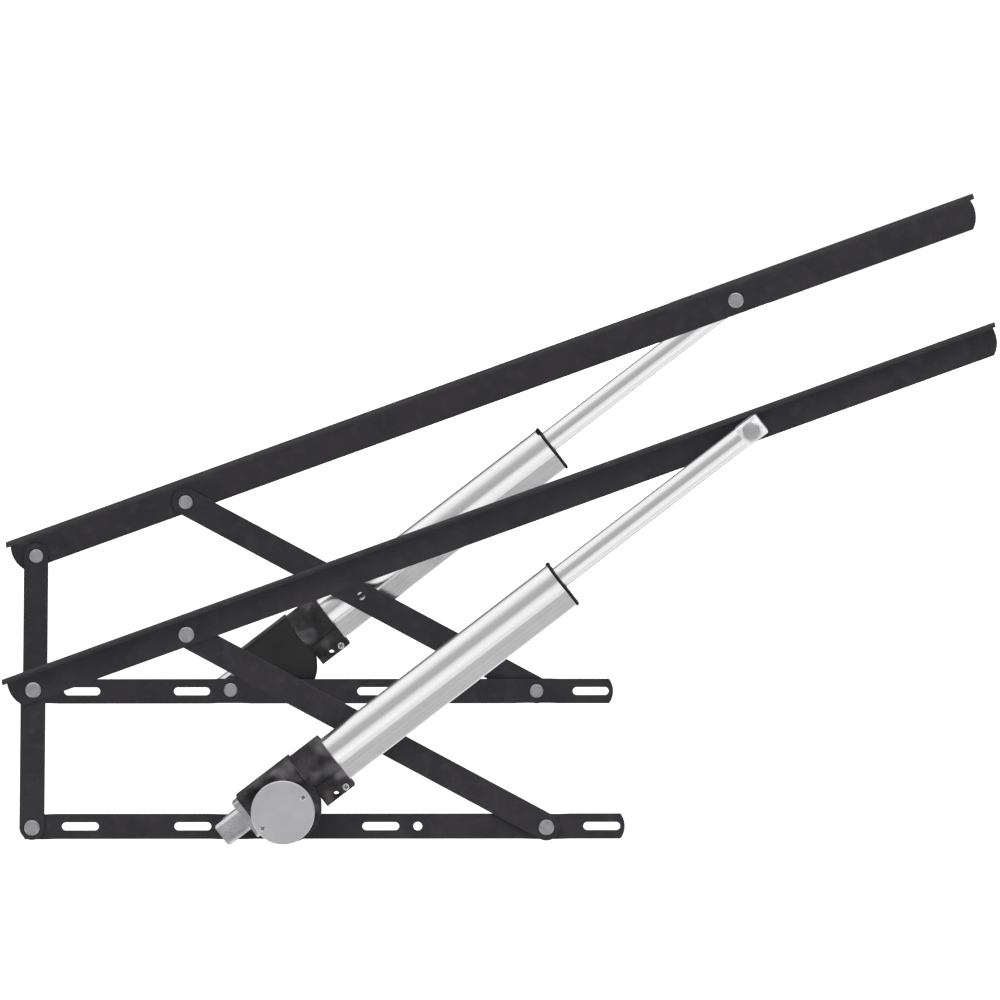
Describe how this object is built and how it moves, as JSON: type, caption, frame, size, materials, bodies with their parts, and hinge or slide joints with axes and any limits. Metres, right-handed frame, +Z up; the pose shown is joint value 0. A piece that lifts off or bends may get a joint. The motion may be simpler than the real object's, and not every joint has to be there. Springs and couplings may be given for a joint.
{
  "type": "bed lift mechanism",
  "caption": "Mirrored pair of electric bed lifts: base rails, rear and front links and angle lift arms, each raised by a linear actuator with a motor and gear case.",
  "frame": {"origin": "under the middle of the pair, at the level of its lowest point, a corner of the rear ends, arms raised", "axes": "+X from the hinge end to the free end of the arms, +Y across the bed to the left unit, +Z up"},
  "size_m": [0.9948, 1.3532, 0.5222],
  "materials": {
    "charcoal_paint": "satin charcoal powder coat",
    "zinc_rivet": "dull zinc plate",
    "cast_silver": "bright machined casting",
    "case_black": "rough black painted casting",
    "cover_black": "smooth black moulding",
    "motor_zinc": "matte light grey steel",
    "tube_silver": "silver anodised extrusion",
    "cap_black": "black moulding",
    "bearing_steel": "ground steel",
    "magnet_grey": "dark ferrite",
    "rod_chrome": "bright plated tube",
    "nut_plastic": "natural acetal",
    "wheel_brass": "cut brass",
    "rotor_copper": "wound copper on steel"
  },
  "bodies": {
    "root": {"right_base_rail": "charcoal_paint", "right_rail_rivets": "zinc_rivet", "right_rail_washers": "zinc_rivet", "right_rear_stud": "zinc_rivet", "left_base_rail": "charcoal_paint", "left_rail_rivets": "zinc_rivet", "left_rail_washers": "zinc_rivet", "left_rear_stud": "zinc_rivet"},
    "right_rear_link": {"right_rear_link": "charcoal_paint", "right_rear_link_rivet": "zinc_rivet"},
    "right_front_link": {"right_front_link": "charcoal_paint"},
    "right_lift_arm": {"right_lift_arm": "charcoal_paint", "right_arm_rivets": "zinc_rivet", "right_pivot_washers": "zinc_rivet", "right_front_stud": "zinc_rivet"},
    "right_actuator": {"right_rear_end": "cast_silver", "right_gear_case": "case_black", "right_gear_cover": "cover_black", "right_motor_can": "motor_zinc", "right_motor_end_plate": "motor_zinc", "right_case_screws": "zinc_rivet", "right_outer_tube": "tube_silver", "right_tube_end_cap": "cap_black", "right_thrust_bearing": "bearing_steel", "right_field_magnets": "magnet_grey"},
    "right_extension_rod": {"right_extension_rod": "rod_chrome", "right_drive_nut": "nut_plastic", "right_rod_end": "cast_silver", "right_front_spacer": "zinc_rivet", "right_front_bolt": "zinc_rivet"},
    "right_lead_screw": {"right_lead_screw": "bearing_steel", "right_worm_wheel": "wheel_brass"},
    "right_motor_rotor": {"right_motor_rotor": "rotor_copper"},
    "left_rear_link": {"left_rear_link": "charcoal_paint", "left_rear_link_rivet": "zinc_rivet"},
    "left_front_link": {"left_front_link": "charcoal_paint"},
    "left_lift_arm": {"left_lift_arm": "charcoal_paint", "left_arm_rivets": "zinc_rivet", "left_pivot_washers": "zinc_rivet", "left_front_stud": "zinc_rivet"},
    "left_actuator": {"left_rear_end": "cast_silver", "left_gear_case": "case_black", "left_gear_cover": "cover_black", "left_motor_can": "motor_zinc", "left_motor_end_plate": "motor_zinc", "left_case_screws": "zinc_rivet", "left_outer_tube": "tube_silver", "left_tube_end_cap": "cap_black", "left_thrust_bearing": "bearing_steel", "left_field_magnets": "magnet_grey"},
    "left_extension_rod": {"left_extension_rod": "rod_chrome", "left_drive_nut": "nut_plastic", "left_rod_end": "cast_silver", "left_front_spacer": "zinc_rivet", "left_front_bolt": "zinc_rivet"},
    "left_lead_screw": {"left_lead_screw": "bearing_steel", "left_worm_wheel": "wheel_brass"},
    "left_motor_rotor": {"left_motor_rotor": "rotor_copper"}
  },
  "joints": [
    {"name": "right_rod_slide", "type": "slide", "parent": "right_actuator", "child": "right_extension_rod", "axis": [0.7914, 0, 0.6113], "range_m": [-0.10898, 0]},
    {"name": "right_rear_link_pivot", "type": "hinge", "parent": "root", "child": "right_rear_link", "pos_m": [-0.46742, -0.6117, 0.01369], "axis": [0, -1, 0], "range_deg": [0, 15.07]},
    {"name": "right_front_link_pivot", "type": "hinge", "parent": "root", "child": "right_front_link", "pos_m": [0.04708, -0.6117, 0.01369], "axis": [0, -1, 0], "range_deg": [0, 9.2]},
    {"name": "right_arm_pivot", "type": "hinge", "parent": "right_front_link", "child": "right_lift_arm", "pos_m": [-0.31272, -0.6117, 0.20817], "axis": [0, -1, 0], "range_deg": [-29.1, 0]},
    {"name": "right_actuator_pivot", "type": "hinge", "parent": "root", "child": "right_actuator", "pos_m": [-0.26692, -0.6117, 0.01494], "axis": [0, -1, 0], "range_deg": [-23.27, 0]},
    {"name": "right_screw_spin", "type": "hinge", "parent": "right_actuator", "child": "right_lead_screw", "pos_m": [-0.26692, -0.6346, 0.01494], "axis": [0.7914, 0, 0.6113], "continuous": true},
    {"name": "right_motor_spin", "type": "hinge", "parent": "right_actuator", "child": "right_motor_rotor", "pos_m": [-0.21666, -0.6346, 0.03575], "axis": [0, 1, 0], "continuous": true},
    {"name": "left_rod_slide", "type": "slide", "parent": "left_actuator", "child": "left_extension_rod", "axis": [0.7914, 0, 0.6113], "range_m": [-0.10898, 0]},
    {"name": "left_rear_link_pivot", "type": "hinge", "parent": "root", "child": "left_rear_link", "pos_m": [-0.46742, 0.6117, 0.01369], "axis": [0, -1, 0], "range_deg": [0, 15.07]},
    {"name": "left_front_link_pivot", "type": "hinge", "parent": "root", "child": "left_front_link", "pos_m": [0.04708, 0.6117, 0.01369], "axis": [0, -1, 0], "range_deg": [0, 9.2]},
    {"name": "left_arm_pivot", "type": "hinge", "parent": "left_front_link", "child": "left_lift_arm", "pos_m": [-0.31272, 0.6117, 0.20817], "axis": [0, -1, 0], "range_deg": [-29.1, 0]},
    {"name": "left_actuator_pivot", "type": "hinge", "parent": "root", "child": "left_actuator", "pos_m": [-0.26692, 0.6117, 0.01494], "axis": [0, -1, 0], "range_deg": [-23.27, 0]},
    {"name": "left_screw_spin", "type": "hinge", "parent": "left_actuator", "child": "left_lead_screw", "pos_m": [-0.26692, 0.6346, 0.01494], "axis": [0.7914, 0, 0.6113], "continuous": true},
    {"name": "left_motor_spin", "type": "hinge", "parent": "left_actuator", "child": "left_motor_rotor", "pos_m": [-0.21666, 0.6346, 0.03575], "axis": [0, 1, 0], "continuous": true}
  ],
  "couplings": [
    {"joint": "right_rear_link_pivot", "follows": "right_rod_slide", "rad_per_m": -2.4108},
    {"joint": "right_front_link_pivot", "follows": "right_rod_slide", "rad_per_m": -1.4699},
    {"joint": "right_arm_pivot", "follows": "right_rod_slide", "rad_per_m": 4.6571},
    {"joint": "right_actuator_pivot", "follows": "right_rod_slide", "rad_per_m": 3.7234},
    {"joint": "right_screw_spin", "follows": "right_rod_slide", "rad_per_m": 1047.2},
    {"joint": "left_rear_link_pivot", "follows": "left_rod_slide", "rad_per_m": -2.4108},
    {"joint": "left_front_link_pivot", "follows": "left_rod_slide", "rad_per_m": -1.4699},
    {"joint": "left_arm_pivot", "follows": "left_rod_slide", "rad_per_m": 4.6571},
    {"joint": "left_actuator_pivot", "follows": "left_rod_slide", "rad_per_m": 3.7234},
    {"joint": "left_screw_spin", "follows": "left_rod_slide", "rad_per_m": -1047.2}
  ]
}
